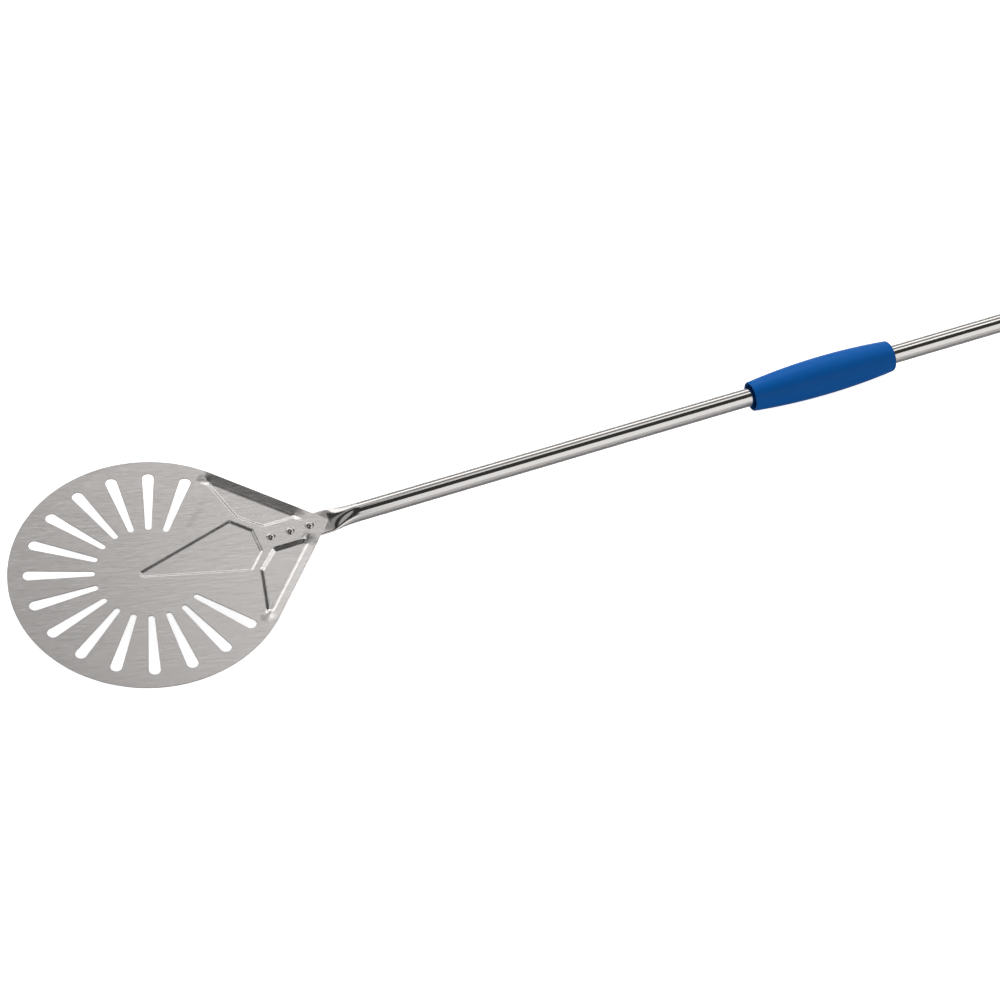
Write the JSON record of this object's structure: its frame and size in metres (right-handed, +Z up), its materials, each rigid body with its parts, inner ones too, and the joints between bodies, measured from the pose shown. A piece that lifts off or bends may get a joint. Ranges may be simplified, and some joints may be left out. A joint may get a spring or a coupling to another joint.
{
  "type": "pizza peel",
  "caption": "Long-handled turning peel: slotted round steel head riveted to a steel tube, with a grip that slides and turns and an end grip with a hanging hole.",
  "frame": {"origin": "centre of the round head on its upper, food-carrying face", "axes": "+X along the handle from the head to the end grip, +Z up from the food-carrying face, +Y across the head"},
  "size_m": [1.405, 0.23, 0.0338],
  "materials": {
    "head_steel": "satin, lightly brushed sheet with pressed panels",
    "tube_steel": "polished stainless tube",
    "rivet_steel": "polished domes",
    "bush_plastic": "plain moulded",
    "grip_plastic": "blue moulded polyethylene with a fine grain"
  },
  "bodies": {
    "peel": {"head_plate": "head_steel", "handle_tube": "tube_steel", "rivet_front": "rivet_steel", "rivet_middle": "rivet_steel", "rivet_rear": "rivet_steel", "end_grip": "grip_plastic"},
    "guide": {"guide_bush": "bush_plastic"},
    "grip": {"sliding_grip": "grip_plastic"}
  },
  "joints": [
    {"name": "grip_slide", "type": "slide", "parent": "peel", "child": "guide", "axis": [1, 0, 0], "range_m": [-0.375, 0.455]},
    {"name": "grip_turn", "type": "hinge", "parent": "guide", "child": "grip", "pos_m": [0.6145, 0, -0.002], "axis": [1, 0, 0], "continuous": true}
  ]
}
